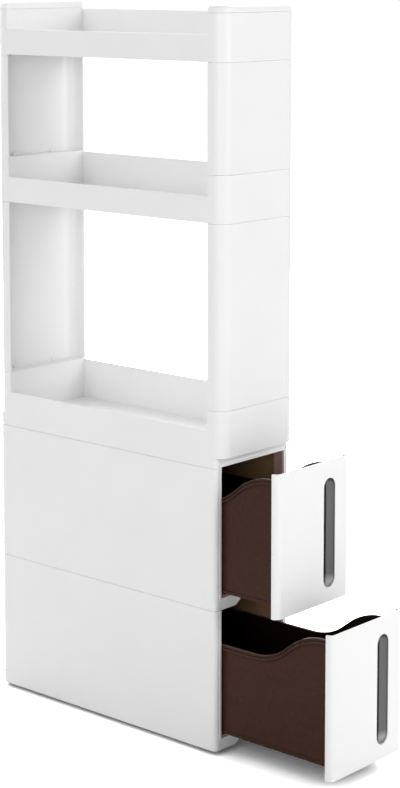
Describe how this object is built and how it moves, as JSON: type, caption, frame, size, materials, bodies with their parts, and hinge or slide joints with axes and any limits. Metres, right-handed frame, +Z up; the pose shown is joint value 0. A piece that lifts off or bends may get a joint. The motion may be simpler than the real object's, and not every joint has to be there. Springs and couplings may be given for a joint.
{
  "type": "rolling storage cart",
  "caption": "Slim upright storage cart with pull-out drawers below open shelf trays, on small fixed rollers.",
  "frame": {"origin": "on the floor, under the centre of the whole cart's box with both drawers where they rest", "axes": "+Z up, -Y the way the drawers open, +X to the right as seen from the drawers"},
  "size_m": [0.16, 0.643, 1.048],
  "materials": {
    "white_shell": "satin white moulded plastic",
    "white_front": "glossy white moulded plastic",
    "brown_liner": "dark brown moulded plastic",
    "brown_bin": "dark brown satin moulded plastic",
    "grey_pull": "mid grey moulded plastic",
    "screw_steel": "zinc plated",
    "axle_steel": "plain bright steel",
    "roller_plastic": "grey hard plastic",
    "bracket_plastic": "white moulded plastic"
  },
  "bodies": {
    "cart": {"lower_casing": "white_shell", "lower_liner": "brown_liner", "lower_front_upright": "white_shell", "lower_rear_upright": "white_shell", "upper_casing": "white_shell", "upper_liner": "brown_liner", "upper_front_upright": "white_shell", "upper_rear_upright": "white_shell", "bottom_tray": "white_shell", "middle_tray": "white_shell", "top_tray": "white_shell", "front_top_cap": "white_shell", "rear_top_cap": "white_shell", "front_right_axle": "axle_steel", "front_right_bracket": "bracket_plastic", "front_left_axle": "axle_steel", "front_left_bracket": "bracket_plastic", "rear_right_axle": "axle_steel", "rear_right_bracket": "bracket_plastic", "rear_left_axle": "axle_steel", "rear_left_bracket": "bracket_plastic", "bracket_screws": "screw_steel"},
    "lower_drawer": {"lower_drawer_bin": "brown_bin", "lower_drawer_front": "white_front", "lower_pull_insert": "grey_pull", "lower_front_screws": "screw_steel"},
    "upper_drawer": {"upper_drawer_bin": "brown_bin", "upper_drawer_front": "white_front", "upper_pull_insert": "grey_pull", "upper_front_screws": "screw_steel"},
    "front_right_roller": {"front_right_roller": "roller_plastic"},
    "front_left_roller": {"front_left_roller": "roller_plastic"},
    "rear_right_roller": {"rear_right_roller": "roller_plastic"},
    "rear_left_roller": {"rear_left_roller": "roller_plastic"}
  },
  "joints": [
    {"name": "lower_drawer_slide", "type": "slide", "parent": "cart", "child": "lower_drawer", "axis": [0, -1, 0], "range_m": [-0.193, 0.107]},
    {"name": "upper_drawer_slide", "type": "slide", "parent": "cart", "child": "upper_drawer", "axis": [0, -1, 0], "range_m": [-0.099, 0.201]},
    {"name": "front_right_roller_spin", "type": "hinge", "parent": "cart", "child": "front_right_roller", "pos_m": [0.057, -0.091, 0.011], "axis": [1, 0, 0], "continuous": true},
    {"name": "front_left_roller_spin", "type": "hinge", "parent": "cart", "child": "front_left_roller", "pos_m": [-0.057, -0.091, 0.011], "axis": [1, 0, 0], "continuous": true},
    {"name": "rear_right_roller_spin", "type": "hinge", "parent": "cart", "child": "rear_right_roller", "pos_m": [0.057, 0.2955, 0.011], "axis": [1, 0, 0], "continuous": true},
    {"name": "rear_left_roller_spin", "type": "hinge", "parent": "cart", "child": "rear_left_roller", "pos_m": [-0.057, 0.2955, 0.011], "axis": [1, 0, 0], "continuous": true}
  ]
}
